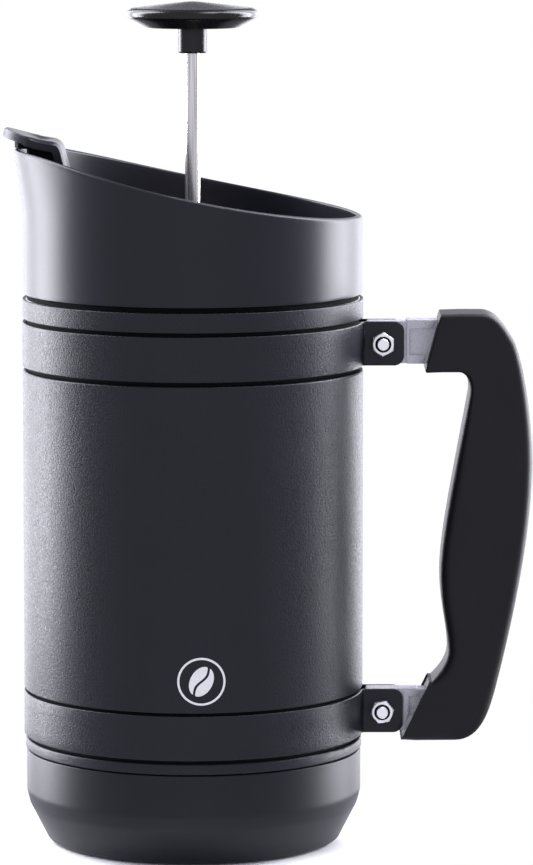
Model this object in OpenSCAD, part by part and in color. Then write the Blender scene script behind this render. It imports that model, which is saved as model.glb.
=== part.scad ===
// Insulated french press: a double-walled steel vessel with a bolted-on side handle,
// a slanted lid with a flip-up spout cover, and a knob, rod and filter stack that slide in it.
// Z is up, the base rests on Z = 0, the handle points to +X and the spout to -X.

/* [Vessel] */
// Outside diameter of the vessel
body_d = 114; // [110:0.5:118]
// Thickness of the vessel's outer steel wall
shell_t = 1; // [0.8:0.1:1.2]
// Inside radius of the drinking-side steel liner
liner_r = 51.4; // [49:0.1:51.6]
// Thickness of the liner's wall
liner_t = 0.8; // [0.6:0.1:0.9]
// Height of the liner's floor above the table
liner_floor_z = 12.8; // [12:0.1:16]
// Height of the vessel's mouth above the table
mouth_z = 183.4; // [183:0.1:184]

/* [Base] */
// Outside radius of the moulded base cap's wall
cap_r = 56.3; // [56:0.1:56.5]
// Height of the base cap's top edge
cap_top_z = 31.6; // [30:0.1:32]
// Wall thickness of the base cap
cap_t = 1.6; // [1.2:0.1:1.6]
// Radius of the rubber foot pad
foot_r = 43.3; // [38:0.1:44]
// Thickness of the rubber foot pad
foot_t = 1.6; // [1.2:0.1:2]

/* [Clamp bands] */
// Height of the upper band's lower edge
upper_band_z = 160.9; // [160.5:0.1:162]
// Height of the lower band's lower edge
lower_band_z = 36.6; // [36.5:0.1:37.2]
// Height of each band
band_h = 14.8; // [13.5:0.1:14.9]
// Thickness of the band strip and its ears
band_t = 1.4; // [1.2:0.1:1.5]
// Thickness of the rubber strip between a band and its groove
pad_t = 0.3; // [0.2:0.1:0.4]
// Gap between the two ears, which holds the handle's tang
ear_gap = 7.2; // [6.6:0.1:8]
// Distance from the vessel's axis to the ears' outer end
ear_end_x = 70.5; // [70:0.1:72]

/* [Handle] */
// Thickness of the grip, front to back
grip_t = 21; // [18:0.5:24]
// Thickness of the cast core inside the grip
core_t = 8.6; // [8:0.1:10]
// Thickness of the cast tang between the ears
tang_t = 7; // [6:0.1:7.1]
// Radius of the clamp bolt's shank
bolt_r = 2; // [1.8:0.1:2]
// Width across the flats of the clamp nut
nut_flats = 7; // [6.8:0.1:7.2]
// Distance from the vessel's axis to the clamp bolts
bolt_x = 63.5; // [63.2:0.1:64.2]

/* [Lid] */
// Outside radius of the lid's collar
lid_r = 56.6; // [56:0.1:57]
// Wall thickness of the collar
lid_t = 2.2; // [2:0.1:2.4]
// Height of the collar's lower edge
lid_z = 185.2; // [185:0.1:186]
// Height of the spout's lip
spout_z = 233.6; // [232:0.1:234]
// Height of the rim above the vessel's axis
rim_z = 219.95; // [218:0.05:221]
// Radius of the shallow curve that the rim is cut to
rim_cut_r = 620; // [500:10:900]
// Slope of the rim above the vessel's axis, in degrees
rim_slope = 11.7; // [10:0.1:13]
// Outside radius of the lid's plug, which drops into the liner
plug_r = 50.9; // [50:0.1:50.9]
// Height of the upper face of the lid's deck
deck_z = 200.5; // [199:0.1:201]

/* [Spout cover] */
// Width of the cover's plate and thumb tab
flap_w = 25; // [22:0.5:26]
// Distance of the hinge axis from the vessel's axis
hinge_x = -31; // [-32:0.1:-30]
// Height of the hinge axis
hinge_z = 206; // [205.5:0.1:207]
// Radius of the hinge pin
pin_r = 1.5; // [1.2:0.1:1.6]

/* [Plunger] */
// Radius of the plunger rod
rod_r = 2.5; // [2.4:0.05:2.6]
// Height of the knob's crown with the plunger half raised
knob_z = 282.1; // [270:0.1:290]
// Radius of the knob's rim
knob_r = 21.9; // [20:0.1:23]
// Height of the mesh screen's underside with the plunger half raised
filter_z = 91.6; // [85:0.1:95]
// Radius of the circle that the filter's edge spring is wound on
spring_ring_r = 49.4; // [49:0.1:49.5]

/* [Hidden] */
$fn = 96;

far = 400;                               // reaches past everything, for cuts
skin = 0.1;                              // gap between nested walls of one assembly
run = 0.06;                              // radial clearance of a running fit
thread_gap = 0.02;                       // radial gap left where two pieces screw together
body_r = body_d / 2;
groove_r = body_r + 0.1 - band_t - skin - pad_t; // bottom of the two grooves that the bands sit in
upper_groove = [upper_band_z - 1.3, upper_band_z + band_h + 1.3];
lower_groove = [lower_band_z - 1.1, lower_band_z + band_h + 1];
skirt_r = cap_r - cap_t - skin;          // shell wall hidden inside the base cap
upper_mid_z = upper_band_z + band_h / 2;
lower_mid_z = lower_band_z + band_h / 2;
lid_in_r = lid_r - lid_t;
rim_cx = rim_cut_r * sin(rim_slope);
rim_cz = rim_z + rim_cut_r * cos(rim_slope);
ear_y = ear_gap / 2;
ear_out_y = ear_y + band_t;
nut_h = 3.2;
bolt_head_h = 2.6;

// n + 1 points along an arc, angles in degrees.
function arc(cx, cz, r, from, to, n = 8) =
    [for (i = [0:n]) let (a = from + (to - from) * i / n) [cx + r * cos(a), cz + r * sin(a)]];

// Points along a cubic curve from p0 towards p3, leaving p3 out so that curves can follow on.
function curve(p0, p1, p2, p3, n = 8) =
    [for (i = [0:n - 1]) let (t = i / n, s = 1 - t)
        s * s * s * p0 + 3 * s * s * t * p1 + 3 * s * t * t * p2 + t * t * t * p3];

// A flat outline drawn in X and Z, made w thick and centred on Y = 0.
module upright(w, mid_y = 0) {
    translate([0, mid_y + w / 2, 0])
        rotate([90, 0, 0])
            linear_extrude(w)
                children();
}

// A round bar along Y through the point (x, z).
module cross_bar(x, z, r, length, mid_y = 0) {
    translate([x, mid_y, z])
        rotate([90, 0, 0])
            cylinder(r = r, h = length, center = true);
}

// A rectangle with round corners, given by its lower and upper corner.
module round_rect(low, high, r) {
    hx = high[0];
    hz = high[1];
    polygon(concat(
        arc(hx - r, hz - r, r, 0, 90, 6), arc(low[0] + r, hz - r, r, 90, 180, 6),
        arc(low[0] + r, low[1] + r, r, 180, 270, 6), arc(hx - r, low[1] + r, r, 270, 360, 6)));
}

// ---- Vessel ----

// Rolled outer wall: a coned foot, a bead, and two grooves for the clamp bands.
module outer_shell() {
    t = shell_t;
    low_a = lower_groove[0];
    low_b = lower_groove[1];
    up_a = upper_groove[0];
    up_b = upper_groove[1];
    bead_z = cap_top_z + 0.4;            // leaves a shadow line above the base cap
    color("#2c2d33")
        rotate_extrude()
            polygon([
                [49.2, 6], [53.3, 13.6], [skirt_r, 18], [skirt_r, bead_z], [body_r - 0.4, bead_z],
                [body_r - 0.4, low_a], [groove_r, low_a], [groove_r, low_b], [body_r, low_b],
                [body_r, up_a], [groove_r, up_a], [groove_r, up_b], [body_r, up_b],
                [body_r, mouth_z - 0.6], [body_r - 0.6, mouth_z], [body_r - t, mouth_z],
                [body_r - t, up_b + t], [groove_r - t, up_b + t], [groove_r - t, up_a - t],
                [body_r - t, up_a - t], [body_r - t, low_b + t], [groove_r - t, low_b + t],
                [groove_r - t, bead_z + t], [skirt_r - t, bead_z + t], [skirt_r - t, 18.2],
                [52.3, 14], [48.2, 6]
            ]);
}

// Deep-drawn cup with a flange at its mouth that closes the double wall.
module inner_liner() {
    corner_r = 7.4;
    floor_r = liner_r - corner_r;
    t = liner_t;
    flange_r = body_r - shell_t - skin;
    color("#b9bcc0")
        rotate_extrude()
            polygon(concat(
                [[0, liner_floor_z - t]],
                arc(floor_r, liner_floor_z + corner_r, corner_r + t, -90, 0),
                [[liner_r + t, mouth_z - t], [flange_r, mouth_z - t], [flange_r, mouth_z],
                 [liner_r, mouth_z]],
                arc(floor_r, liner_floor_z + corner_r, corner_r, 0, -90),
                [[0, liner_floor_z]]));
}

// Disc that closes the outer shell below the liner.
module vessel_base_plate() {
    color("#8f9296")
        translate([0, 0, 6])
            difference() {
                cylinder(r = 48.2 - skin, h = 1);
                cylinder(r = 3, h = 4, center = true);
            }
}

// Button that seals the hole through which the double wall is emptied of air.
module vacuum_seal_cap() {
    color("#6f7276")
        translate([0, 0, 4.2])
            cylinder(r = 8, h = 1.8);
}

// Moulded foot cap: straight wall, round shoulder, cone and a recess for the pad.
module base_cap() {
    t = cap_t;
    color("#26272c")
        rotate_extrude()
            polygon(concat(
                [[0, foot_t], [foot_r + 0.2, foot_t], [foot_r + 0.2, 0.6], [46, 0.6], [48.3, 1.1],
                 [50.35, 3.4], [54.3, 10.7]],
                arc(cap_r - 12, 16.3, 12, -22, 0, 5),
                [[cap_r, cap_top_z - 0.3], [cap_r - 0.3, cap_top_z - skin], [cap_r - t, cap_top_z - skin],
                 [cap_r - t, 17.3], [53.6, 12.7], [48.7, 3.6], [0, 3.6]]));
}

// Non-slip rubber disc that the press stands on.
module foot_pad() {
    color("#131315")
        cylinder(r = foot_r, h = foot_t);
}

// ---- Clamp bands ----

// Rubber strip that lines a groove, so that the band grips and spares the coat.
module band_pad(groove) {
    color("#0b0b0c")
        translate([0, 0, groove[0] + skin])
            difference() {
                cylinder(r = groove_r + pad_t, h = groove[1] - groove[0] - 2 * skin);
                translate([0, 0, -1])
                    cylinder(r = groove_r, h = groove[1] - groove[0] + 2);
            }
}

module upper_band_pad() {
    band_pad(upper_groove);
}

module lower_band_pad() {
    band_pad(lower_groove);
}

// A steel strip round the vessel whose ends turn out into two bolted ears.
module clamp_band(low_z) {
    out_r = groove_r + pad_t + skin + band_t;
    mid_z = low_z + band_h / 2;
    difference() {
        union() {
            difference() {
                translate([0, 0, low_z])
                    cylinder(r = out_r, h = band_h);
                translate([0, 0, low_z - 1])
                    cylinder(r = out_r - band_t, h = band_h + 2);
                translate([0, -ear_y, low_z - 1])
                    cube([far, ear_gap, band_h + 2]);
            }
            for (side = [-1, 1])
                difference() {
                    upright(band_t, side * (ear_y + band_t / 2))
                        round_rect([48, low_z], [ear_end_x, low_z + band_h], 3.3);
                    translate([0, 0, low_z - 1])
                        cylinder(r = out_r - band_t / 2, h = band_h + 2);
                }
        }
        cross_bar(bolt_x, mid_z, bolt_r + 0.15, 40);
    }
}

module upper_clamp_band() {
    color("#2a2b31")
        clamp_band(upper_band_z);
}

module lower_clamp_band() {
    color("#2a2b31")
        clamp_band(lower_band_z);
}

// Bolt heads sit on the rear ears; the shanks run forwards through the tangs.
module clamp_bolts() {
    shank = 2 * ear_out_y + nut_h + 0.9;
    color("#c9ccd0")
        for (z = [upper_mid_z, lower_mid_z]) {
            cross_bar(bolt_x, z, bolt_r, shank, ear_out_y - shank / 2);
            cross_bar(bolt_x, z, 3.8, bolt_head_h, ear_out_y + bolt_head_h / 2);
        }
}

module clamp_nuts() {
    color("#d4d6d8")
        for (z = [upper_mid_z, lower_mid_z])
            translate([bolt_x, -ear_out_y, z])
                rotate([90, 0, 0])
                    difference() {
                        rotate([0, 0, 15])
                            cylinder(d = nut_flats / cos(30), h = nut_h, $fn = 6);
                        translate([0, 0, -1])
                            cylinder(r = bolt_r + 0.05, h = nut_h + 2);
                    }
}

// ---- Handle ----

// The slanted end faces of the grip, each from its lower to its upper edge.
upper_end = [[77.4, 159.1], [82.6, 178.6]];
lower_end = [[70.4, 34.6], [79.8, 54.2]];

// Side view of the grip: slanted ends, a bowed back and a palm swell on the inside.
function grip_outline() = concat(
    [upper_end[1]],
    curve([96.5, 178.6], [101.5, 178.6], [104.5, 173.5], [107.3, 169]),
    curve([107.3, 169], [110.8, 161], [113.5, 141], [113.5, 128], 10),
    curve([113.5, 128], [113.5, 104], [107, 74], [102, 53.7], 12),
    curve([102, 53.7], [99.8, 45], [97, 34.6], [88, 34.6]),
    [[88, 34.6], lower_end[0]],
    curve(lower_end[1], [82.4, 57], [85.8, 61], [85.6, 65.6], 6),
    curve([85.6, 65.6], [85.4, 73], [82.9, 80], [82.9, 91.2]),
    curve([82.9, 91.2], [82.9, 104], [88.5, 130], [92.2, 151], 10),
    curve([92.2, 151], [92.9, 155], [91.8, 159.1], [88.5, 159.1], 6),
    [[88.5, 159.1], upper_end[0]]);

// Side view of the cast core: a bar bowed like the grip, ending in a foot at each tang.
function core_outline() = concat(
    [[71.5, 176.1]],
    curve([90, 176.1], [101, 176.1], [101.5, 166], [104.5, 156]),
    curve([104.5, 156], [108, 141], [108.5, 124], [107, 110]),
    curve([107, 110], [105.5, 94], [100.5, 73], [96.5, 55]),
    curve([96.5, 55], [94, 42], [92, 37.6], [84, 37.6]),
    [[84, 37.6], [71, 37.6], [71, 51.1]],
    curve([86.5, 51.1], [89, 60], [90, 66], [90, 72], 6),
    curve([90, 72], [89, 85], [88, 92], [90, 104]),
    curve([90, 104], [93, 122], [96.5, 140], [97, 150]),
    curve([97, 150], [97, 158], [96, 161.4], [90, 161.4], 6),
    [[90, 161.4], [71.5, 161.5]]);

// Tangs that the ears pinch, a little lower than the bands.
module tang(low_z) {
    upright(tang_t)
        round_rect([body_r + 0.8, low_z + 0.7], [76, low_z + band_h - 0.1], 1);
}

// Shallow pocket in both faces of the core, and a step where the grip's end meets it.
module core_pockets(low, high, end, step_w) {
    pocket_depth = 1.4;
    step_depth = 0.6;
    for (side = [-1, 1]) {
        upright(2 * pocket_depth, side * core_t / 2)
            round_rect(low, high, 0.9);
        upright(2 * step_depth, side * core_t / 2)
            polygon([end[0] - [step_w, 0], end[0] + [1, 0], end[1] + [1, 0], end[1] - [step_w, 0]]);
    }
}

module core_blank() {
    upright(core_t)
        polygon(core_outline());
}

module handle_frame() {
    color("#b4b6b9")
        difference() {
            union() {
                core_blank();
                tang(upper_band_z);
                tang(lower_band_z);
            }
            core_pockets([72.2, 164.3], [84, 173.4], upper_end, 0.9);
            core_pockets([72.6, 42], [80, 48.9], lower_end, 1.8);
            cross_bar(bolt_x, upper_mid_z, bolt_r + 0.15, 40);
            cross_bar(bolt_x, lower_mid_z, bolt_r + 0.15, 40);
        }
}

// Moulded over the core, so the two touch all along it.
module handle_grip() {
    color("#1d1e21")
        difference() {
            upright(grip_t)
                polygon(grip_outline());
            core_blank();
        }
}

// ---- Lid ----

// Outside of the collar, or its inside when inset is the wall's thickness.
module collar_form(inset, low_z) {
    flare_r = 40;
    flare_low_z = 211;
    flare_out = 3;
    flare_tilt = atan(flare_out / (spout_z - flare_low_z));
    translate([0, 0, low_z])
        cylinder(r = lid_r - inset, h = spout_z - low_z, $fn = 128);
    intersection() {
        translate([-lid_r, 0, flare_low_z])
            rotate([0, -flare_tilt, 0])
                translate([flare_r, 0, -6])
                    cylinder(r = flare_r - inset, h = 60);
        translate([-far / 2, -far / 2, flare_low_z - 1])
            cube([far, far, spout_z - flare_low_z + 1]);
    }
}

// Moulded collar, high at the spout and low at the handle.
module lid_collar() {
    ledge_t = 2;
    color("#34353a")
        difference() {
            collar_form(0, lid_z);
            collar_form(lid_t, lid_z + ledge_t);
            translate([0, 0, lid_z - 1])
                cylinder(r = plug_r + skin, h = ledge_t + 2);
            translate([0, 0, spout_z - 0.01])
                cylinder(r = 2 * lid_r, h = 10);
            cross_bar(rim_cx, rim_cz, rim_cut_r, far);
        }
}

deck_t = 2.5;
duct_low_z = deck_z - 8;                 // the pour hole runs down through a short duct
duct_t = 1.2;
hole_x = -46;                            // spout end of the pour hole
hole_len = 10.5;
hole_w = 20;
lug_t = 3;                               // hinge lugs, one at each side of the spout cover
lug_gap = 0.4;
bush_r = 5;
bush_top_z = 210;
bush_flange_r = 9;
bush_flange_t = 2;

// Plug and deck in one piece, with the pour duct, the bush's hole and two hinge lugs.
module lid_insert() {
    plug_t = 2;
    plug_low_z = 170;
    lug_r = 3.5;
    color("#3a3b40")
        difference() {
            union() {
                translate([0, 0, deck_z - deck_t])
                    cylinder(r = lid_in_r - skin, h = deck_t);
                translate([0, 0, plug_low_z])
                    difference() {
                        cylinder(r = plug_r, h = deck_z - deck_t - plug_low_z);
                        translate([0, 0, -1])
                            cylinder(r = plug_r - plug_t, h = deck_z - plug_low_z + 1);
                    }
                translate([hole_x - duct_t, -hole_w / 2 - duct_t, duct_low_z])
                    cube([hole_len + 2 * duct_t, hole_w + 2 * duct_t, deck_z - duct_low_z]);
                for (side = [-1, 1])
                    upright(lug_t, side * (flap_w / 2 + lug_gap + lug_t / 2))
                        polygon(concat(
                            arc(hinge_x, hinge_z, lug_r, 0, 180),
                            [[hinge_x - lug_r, deck_z - 0.5], [hinge_x + lug_r, deck_z - 0.5]]));
            }
            translate([hole_x, -hole_w / 2, duct_low_z - 1])
                cube([hole_len, hole_w, deck_z - duct_low_z + 2]);
            translate([0, 0, deck_z - deck_t - 1])
                cylinder(r = bush_r + skin, h = deck_t + 2);
            cross_bar(hinge_x, hinge_z, pin_r + 0.02, 50);
        }
}

// Silicone ring that the collar squeezes onto the vessel's mouth.
module lid_gasket() {
    color("#18181a")
        translate([0, 0, mouth_z + 0.02])
            difference() {
                cylinder(r = body_r - 1.4, h = lid_z - mouth_z - 0.04);
                translate([0, 0, -1])
                    cylinder(r = plug_r + skin, h = 5);
            }
}

// Flanged bush that guides the rod through the deck.
module rod_bushing() {
    low_z = 192;
    collar_r = 6.5;
    step = 0.6;                          // the bush's end stands this far out of its collar
    color("#c4c7ca")
        difference() {
            union() {
                translate([0, 0, low_z])
                    cylinder(r = bush_r, h = bush_top_z - low_z);
                translate([0, 0, deck_z])
                    cylinder(r = bush_flange_r, h = bush_flange_t);
                translate([0, 0, deck_z])
                    cylinder(r = collar_r, h = bush_top_z - deck_z - step);
            }
            translate([0, 0, low_z - 1])
                cylinder(r = rod_r + run, h = far);
        }
}

// Thin nut that clamps the bush from below the deck.
module bushing_nut() {
    h = 3.6;
    color("#c4c7ca")
        translate([0, 0, deck_z - deck_t - h])
            difference() {
                cylinder(r = bush_flange_r, h = h, $fn = 6);
                translate([0, 0, -1])
                    cylinder(r = bush_r + 0.05, h = h + 2);
            }
}

// Punched plate that closes the lower end of the pour duct.
module pour_strainer() {
    pitch = 3.2;
    t = 1;
    lip = duct_t - 0.2;
    color("#b9bcc0")
        difference() {
            translate([hole_x - lip, -hole_w / 2 - lip, duct_low_z - t])
                cube([hole_len + 2 * lip, hole_w + 2 * lip, t]);
            for (i = [0:2], j = [-2:2])
                translate([hole_x + hole_len / 2 + (i - 1) * pitch, j * pitch, duct_low_z - 2])
                    cylinder(r = 1.1, h = 4, $fn = 24);
        }
}

module flap_hinge_pin() {
    color("#c9ccd0")
        cross_bar(hinge_x, hinge_z, pin_r, flap_w + 2 * lug_gap + 2 * lug_t);
}

// ---- Spout cover ----

// Side view of the cover: foot plate, leaning leg, and a tab that overhangs the spout.
function flap_outline() = concat(
    [[-48, deck_z + 1], [-30.6, deck_z + 1], [-30.6, deck_z + 2.8], [-34.7, deck_z + 2.8]],
    curve([-43.1, 235], [-43.5, 235.9], [-44.3, 236.1], [-45.4, 236.3], 4),
    curve([-45.4, 236.3], [-50.6, 237.2], [-56, 238.2], [-61.6, 240.3]),
    arc(-62.3, 239, 1.5, 62, 250, 6),
    curve([-62.8, 237.5], [-57.5, 235.3], [-52, 233.7], [-47.6, 233.1]),
    [[-47.6, 233.1], [-46.6, 232.4], [-38.9, deck_z + 2.8], [-48, deck_z + 2.8]]);

module spout_flap() {
    color("#2b2c30")
        difference() {
            intersection() {
                union() {
                    upright(flap_w)
                        polygon(flap_outline());
                    cross_bar(hinge_x, hinge_z, 3.2, flap_w);
                }
                // Plan view: straight sides and a thumb end that narrows to a blunt point.
                linear_extrude(300)
                    polygon(concat(
                        [[-20, -flap_w / 2], [-20, flap_w / 2]],
                        curve([-54.8, flap_w / 2], [-57.5, 9.6], [-64, 6.5], [-64, 0], 12),
                        curve([-64, 0], [-64, -6.5], [-57.5, -9.6], [-54.8, -flap_w / 2], 12),
                        [[-54.8, -flap_w / 2]]));
            }
            cross_bar(hinge_x, hinge_z, pin_r + run, 40);
        }
}

// Silicone pad under the foot plate that closes the pour hole.
module flap_seal() {
    color("#18181a")
        translate([-47.6, -11.5, deck_z + 0.05])
            cube([13.6, 23, 0.95]);
}

// Silicone stopper under the tab: a block that fills the lip, and a brim that rests on its rim.
module flap_plug() {
    plug_w = 23;
    brim_w = 22;
    brim_z = spout_z + 0.1;
    brim_r = 39.5;                       // follows the round of the lip
    color("#111113")
        difference() {
            union() {
                intersection() {
                    upright(plug_w)
                        polygon([[-56, 229.5], [-56, 236.3], [-48, 234.8], [-46.5, 234], [-44, 229.5]]);
                    cylinder(r = lid_in_r + 0.8, h = far);
                }
                intersection() {
                    upright(brim_w)
                        polygon([[-60, brim_z], [-60, 238], [-50, 236], [-50, brim_z]]);
                    translate([brim_r - 59.2, 0, 0])
                        cylinder(r = brim_r, h = far);
                }
            }
            upright(flap_w + 5)
                polygon(flap_outline());
        }
}

// ---- Plunger ----

knob_low_z = knob_z - 8.7;
ferrule_low_z = knob_z - 17.2;
insert_r = 4;
insert_h = 6.2;

module plunger_rod() {
    low_z = filter_z - 9.6;
    color("#c6c9cc")
        translate([0, 0, low_z])
            cylinder(r = rod_r, h = knob_z - 4 - low_z);
}

// Disc with a shallow pointed crown, a rounded rim and a coned underside.
module knob() {
    rim_r = 1.7;
    color("#0e0e10")
        difference() {
            rotate_extrude()
                polygon(concat(
                    [[0, knob_low_z], [15.4, knob_low_z], [19.8, knob_z - 6.3]],
                    arc(knob_r - rim_r, knob_z - 4.2, rim_r, -50, 80),
                    curve([20.2, knob_z - 2.25], [14, knob_z - 1.6], [6, knob_z - 0.35], [0, knob_z]),
                    [[0, knob_z]]));
            translate([0, 0, knob_low_z - 1])
                cylinder(r = insert_r, h = insert_h + 1);
        }
}

// Threaded brass bush moulded into the knob.
module knob_insert() {
    color("#b08d4a")
        translate([0, 0, knob_low_z])
            difference() {
                cylinder(r = insert_r, h = insert_h);
                translate([0, 0, -1])
                    cylinder(r = rod_r + thread_gap, h = insert_h + 0.4);
            }
}

// Short turned neck between the knob and the bare rod.
module knob_ferrule() {
    h = knob_low_z - ferrule_low_z;
    color("#151517")
        translate([0, 0, ferrule_low_z])
            difference() {
                union() {
                    cylinder(r1 = 4.4, r2 = 5, h = 0.7);
                    translate([0, 0, 0.7])
                        cylinder(r = 5, h = h - 0.7);
                }
                translate([0, 0, -1])
                    cylinder(r = rod_r + thread_gap, h = h + 2);
            }
}

plate_t = 1;
mesh_t = 0.6;
cross_t = 1.2;
plate_r = 46.5;

// Turned shoulder that the filter stack is tightened against.
module filter_collar() {
    color("#c6c9cc")
        translate([0, 0, filter_z + mesh_t + plate_t])
            difference() {
                union() {
                    cylinder(r = 9, h = 1.6);
                    cylinder(r = 5.5, h = 7);
                }
                translate([0, 0, -1])
                    cylinder(r = rod_r + thread_gap, h = 9);
            }
}

// Pressed plate with a ring of flow holes that holds the mesh down.
module filter_plate() {
    holes = 12;
    color("#b9bcc0")
        translate([0, 0, filter_z + mesh_t])
            difference() {
                cylinder(r = plate_r, h = plate_t);
                translate([0, 0, -1])
                    cylinder(r = rod_r + 0.1, h = 3);
                for (i = [0:holes - 1])
                    rotate([0, 0, i * 360 / holes])
                        translate([34, 0, -1])
                            cylinder(r = 5.5, h = 3, $fn = 32);
                for (i = [0:5])
                    rotate([0, 0, i * 60 + 15])
                        translate([20, 0, -1])
                            cylinder(r = 5.5, h = 3, $fn = 32);
            }
}

// Closely wound edge spring, drawn as the ring that its coils fill.
module filter_spring() {
    color("#aeb1b4")
        translate([0, 0, filter_z + 0.8])
            rotate_extrude()
                translate([spring_ring_r, 0])
                    circle(r = 1.3, $fn = 24);
}

// Woven steel screen, drawn as a plain disc.
module mesh_screen() {
    color("#9fa2a6")
        translate([0, 0, filter_z])
            difference() {
                cylinder(r = spring_ring_r - 1.6, h = mesh_t);
                translate([0, 0, -1])
                    cylinder(r = rod_r + 0.1, h = 3);
            }
}

// Rim and four spokes that back the mesh from below.
module cross_plate() {
    ring_w = 5;
    rim_r = plate_r - 0.5;
    spoke_w = 9;
    color("#b9bcc0")
        translate([0, 0, filter_z - cross_t])
            difference() {
                union() {
                    difference() {
                        cylinder(r = rim_r, h = cross_t);
                        translate([0, 0, -1])
                            cylinder(r = rim_r - ring_w, h = cross_t + 2);
                    }
                    for (a = [0, 90])
                        rotate([0, 0, a])
                            cube([2 * rim_r - ring_w, spoke_w, 2 * cross_t], center = true);
                    cylinder(r = 11, h = cross_t);
                }
                translate([0, 0, -cross_t - 1])
                    cylinder(r = rod_r + 0.1, h = 2 * cross_t + 2);
                translate([0, 0, -far])
                    cylinder(r = plate_r, h = far);
            }
}

// Nut on the rod's threaded end that holds the filter stack together.
module filter_nut() {
    h = 6;
    color("#c6c9cc")
        translate([0, 0, filter_z - cross_t - h])
            difference() {
                cylinder(r = 7, h = h, $fn = 6);
                translate([0, 0, -1])
                    cylinder(r = rod_r + thread_gap, h = h + 2);
            }
}

outer_shell();
inner_liner();
vessel_base_plate();
vacuum_seal_cap();
base_cap();
foot_pad();
upper_band_pad();
lower_band_pad();
upper_clamp_band();
lower_clamp_band();
handle_frame();
handle_grip();
clamp_bolts();
clamp_nuts();
lid_collar();
lid_insert();
lid_gasket();
rod_bushing();
bushing_nut();
pour_strainer();
flap_hinge_pin();
spout_flap();
flap_seal();
flap_plug();
plunger_rod();
knob();
knob_ferrule();
knob_insert();
filter_collar();
filter_plate();
filter_spring();
mesh_screen();
cross_plate();
filter_nut();
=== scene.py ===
"""The looks of an insulated French press, built piece by piece round its fixed frame.

Sizes inside a section are in millimetres in the press's own frame: Z up from the table, the handle
towards +X and the spout towards -X. One function turns them into metres when a mesh is made.
"""
import math

import bmesh
import bpy
import numpy as np
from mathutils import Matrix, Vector


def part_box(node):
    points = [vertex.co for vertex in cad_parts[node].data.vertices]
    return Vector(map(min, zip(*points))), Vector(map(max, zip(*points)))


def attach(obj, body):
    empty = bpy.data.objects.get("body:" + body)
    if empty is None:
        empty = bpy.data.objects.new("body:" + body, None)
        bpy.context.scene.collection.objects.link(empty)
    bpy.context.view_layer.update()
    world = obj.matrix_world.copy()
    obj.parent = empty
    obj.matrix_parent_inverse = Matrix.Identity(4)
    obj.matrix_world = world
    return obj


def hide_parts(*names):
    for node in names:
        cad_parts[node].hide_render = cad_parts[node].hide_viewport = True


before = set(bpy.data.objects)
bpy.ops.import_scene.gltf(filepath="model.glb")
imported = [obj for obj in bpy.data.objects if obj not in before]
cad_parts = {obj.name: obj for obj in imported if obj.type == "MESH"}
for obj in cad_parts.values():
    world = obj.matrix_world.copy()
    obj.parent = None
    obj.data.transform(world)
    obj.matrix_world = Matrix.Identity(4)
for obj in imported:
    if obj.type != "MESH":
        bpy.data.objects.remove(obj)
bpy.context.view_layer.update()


# ---- Camera ----
# A long lens a little above the lid, seven degrees down, so that the bands curve only slightly.

EYE = (0.0246, -1.654, 0.3428)
TILT_DOWN = math.radians(7.065)


def new_object(name, data):
    """An object at the origin for a mesh, a light or a camera, linked to the scene."""
    thing = bpy.data.objects.new(name, data)
    bpy.context.scene.collection.objects.link(thing)
    return thing


lens = bpy.data.cameras.new("long_lens")
lens.sensor_width = 36
lens.lens = 206.8
camera = new_object("camera", lens)
camera.location = EYE
camera.rotation_euler = (math.radians(90) - TILT_DOWN, 0, 0)
bpy.context.scene.camera = camera
bpy.context.scene.view_settings.view_transform = "Standard"


# ---- Studio ----
# Two tall soft panels stand beside the press and two dimmer ones behind its shoulders; they draw its
# bright edges. A low backdrop and a panel overhead light the rims. The room is even and a little blue.

def linear(colour):
    """An sRGB hex colour as linear RGBA."""
    srgb = np.array([int(colour[i:i + 2], 16) for i in (1, 3, 5)]) / 255
    rgb = np.where(srgb <= 0.04045, srgb / 12.92, ((srgb + 0.055) / 1.055) ** 2.4)
    return (*rgb, 1.0)


def add(tree, kind, settings=None, links=None):
    """Adds a node, sets its sockets or properties by name, and links its inputs.

    A link comes from a socket, or from a node, which then gives its first live output.
    """
    node = tree.nodes.new(kind)
    for key, value in (settings or {}).items():
        if isinstance(key, int) or key in node.inputs:
            node.inputs[key].default_value = value
        else:
            setattr(node, key, value)
    for key, source in (links or {}).items():
        if isinstance(source, bpy.types.Node):
            source = next(socket for socket in source.outputs if socket.enabled)
        tree.links.new(source, node.inputs[key])
    return node


def soft_panel(name, place, aim, width, height, radiance):
    """A soft rectangular light at place, facing the point aim; it never shows to the camera."""
    light = bpy.data.lights.new(name, "AREA")
    light.shape = "RECTANGLE"
    light.color = PANEL_TINT
    light.size, light.size_y = width, height
    light.energy = math.pi * width * height * radiance
    panel = new_object(name, light)
    panel.location = place
    panel.rotation_euler = (Vector(aim) - Vector(place)).to_track_quat("-Z", "Y").to_euler()
    panel.visible_camera = False


PANEL_TINT = (0.92, 0.92, 1.0)
ROOM_TINT, WHITE = (0.9, 0.9, 1, 1), (1, 1, 1, 1)
ROOM_FRONT, ROOM_BEHIND = 0.98, 0.3

for side, label in ((-1, "left"), (1, "right")):
    soft_panel(f"panel_{label}", (1.17 * side, 0.52, 1.13), (0, 0, 1.13), 0.64, 2.74, 15.5)
    soft_panel(f"shoulder_{label}", (0.735 * side, 1.055, 0.83), (0, 0, 0.83), 0.69, 2.14, 4.2)
soft_panel("backdrop", (0, 1.5, 0.125), (0, 0, 0.125), 1.2, 0.85, 1.5)
soft_panel("overhead", (0.5, 0, 1.7), (0.5, 0, 0), 0.5, 0.9, 9.0)

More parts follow.
